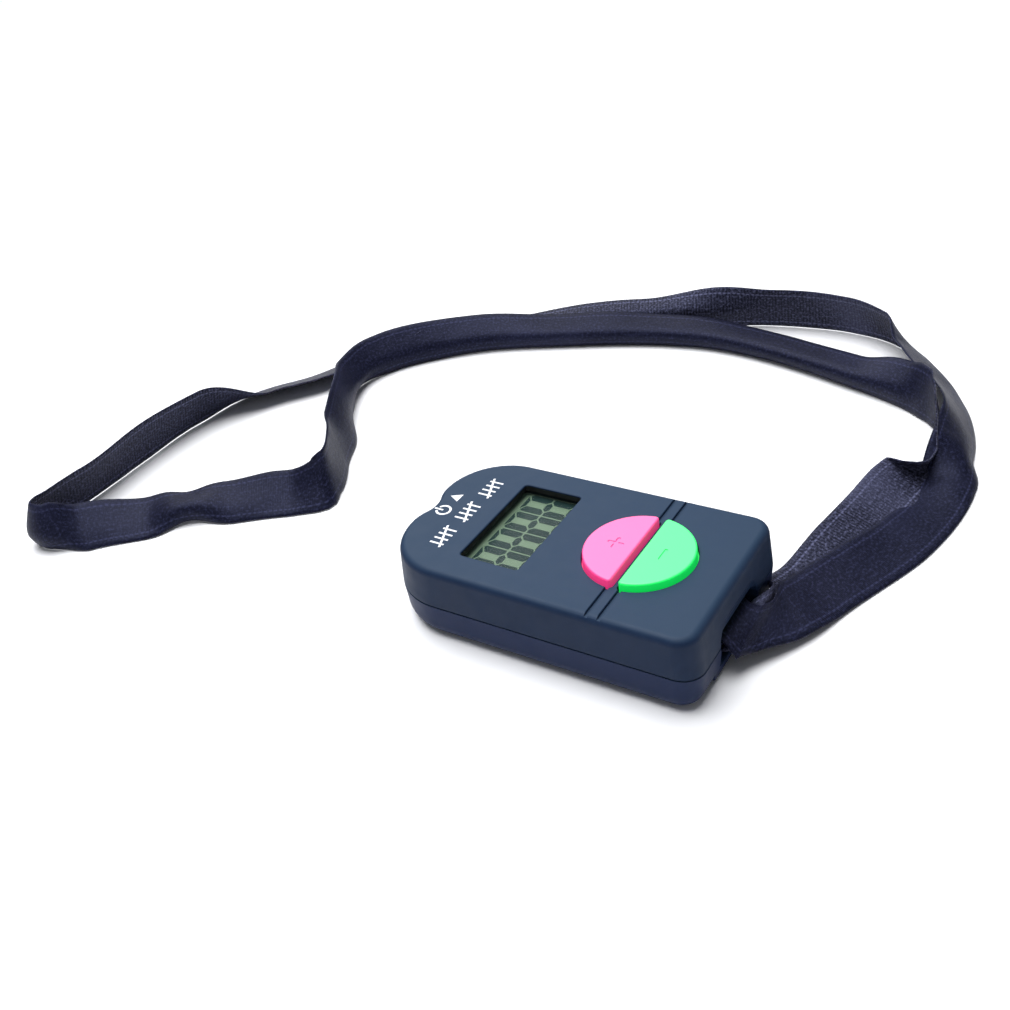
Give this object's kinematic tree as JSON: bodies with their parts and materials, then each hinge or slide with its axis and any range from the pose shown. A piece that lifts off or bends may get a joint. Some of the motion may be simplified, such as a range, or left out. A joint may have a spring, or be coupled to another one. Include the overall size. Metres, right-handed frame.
{
  "type": "row counter",
  "caption": "Hand-held electronic row counter: LCD window, plus and minus half-round keys, end reset key, coin-cell cap, on a long neck ribbon.",
  "frame": {"origin": "on the rest surface under the middle of the case, which lies on its back", "axes": "+Z out of the display face, +Y towards the head end with the reset key, +X to the reader's right"},
  "size_m": [0.1638, 0.1927, 0.0186],
  "materials": {
    "case_plastic": "satin-matt moulded ABS, dark slate blue-black",
    "pink_plastic": "semi-gloss moulded key, bright pink",
    "green_plastic": "semi-gloss moulded key, bright green",
    "black_plastic": "matt moulded plastic",
    "silicone": "matt silicone rubber",
    "carbon": "conductive rubber",
    "clear_window": "clear polished acrylic",
    "lcd_glass": "reflective liquid crystal glass, olive green",
    "foil": "satin reflector film",
    "board_laminate": "solder-masked laminate",
    "epoxy": "potting blob",
    "ceramic": "chip component body",
    "steel": "nickel-plated steel",
    "zinc_steel": "zinc-plated screw steel",
    "satin_ribbon": "woven polyester satin ribbon, blue-black"
  },
  "bodies": {
    "case": {"front_case": "case_plastic", "rear_case": "case_plastic", "keypad_mat": "silicone", "plus_dome": "silicone", "minus_dome": "silicone", "reset_switch": "black_plastic", "window_lens": "clear_window", "lcd_front_glass": "lcd_glass", "lcd_rear_glass": "lcd_glass", "lcd_reflector": "foil", "elastomer_strip": "silicone", "circuit_board": "board_laminate", "chip_blob": "epoxy", "capacitor": "ceramic", "resistor": "epoxy", "button_cell": "steel", "contact_positive": "steel", "contact_negative": "steel", "lanyard_pin": "steel", "ribbon_bight": "satin_ribbon", "neck_ribbon": "satin_ribbon", "case_screw_1": "zinc_steel", "case_screw_2": "zinc_steel", "case_screw_3": "zinc_steel", "case_screw_4": "zinc_steel", "board_screw_1": "zinc_steel", "board_screw_2": "zinc_steel"},
    "plus_key": {"plus_button": "pink_plastic", "plus_pill": "carbon"},
    "minus_key": {"minus_button": "green_plastic", "minus_pill": "carbon"},
    "reset_key": {"reset_button": "black_plastic", "reset_plunger": "steel"},
    "battery_cover": {"battery_cap": "case_plastic"}
  },
  "joints": [
    {"name": "plus_press", "type": "slide", "parent": "case", "child": "plus_key", "axis": [0, 0, -1], "range_m": [0, 0.0009], "stiffness_N_per_m": 250, "springref_m": -0.001, "deforming": ["plus_dome"]},
    {"name": "minus_press", "type": "slide", "parent": "case", "child": "minus_key", "axis": [0, 0, -1], "range_m": [0, 0.0009], "stiffness_N_per_m": 250, "springref_m": -0.001, "deforming": ["minus_dome"]},
    {"name": "reset_press", "type": "slide", "parent": "case", "child": "reset_key", "axis": [0, -1, 0], "range_m": [0, 0.0005], "stiffness_N_per_m": 250, "springref_m": -0.001},
    {"name": "battery_cap_turn", "type": "hinge", "parent": "case", "child": "battery_cover", "pos_m": [0, 0.008, 0], "axis": [0, 0, 1], "range_deg": [0, 60]}
  ]
}
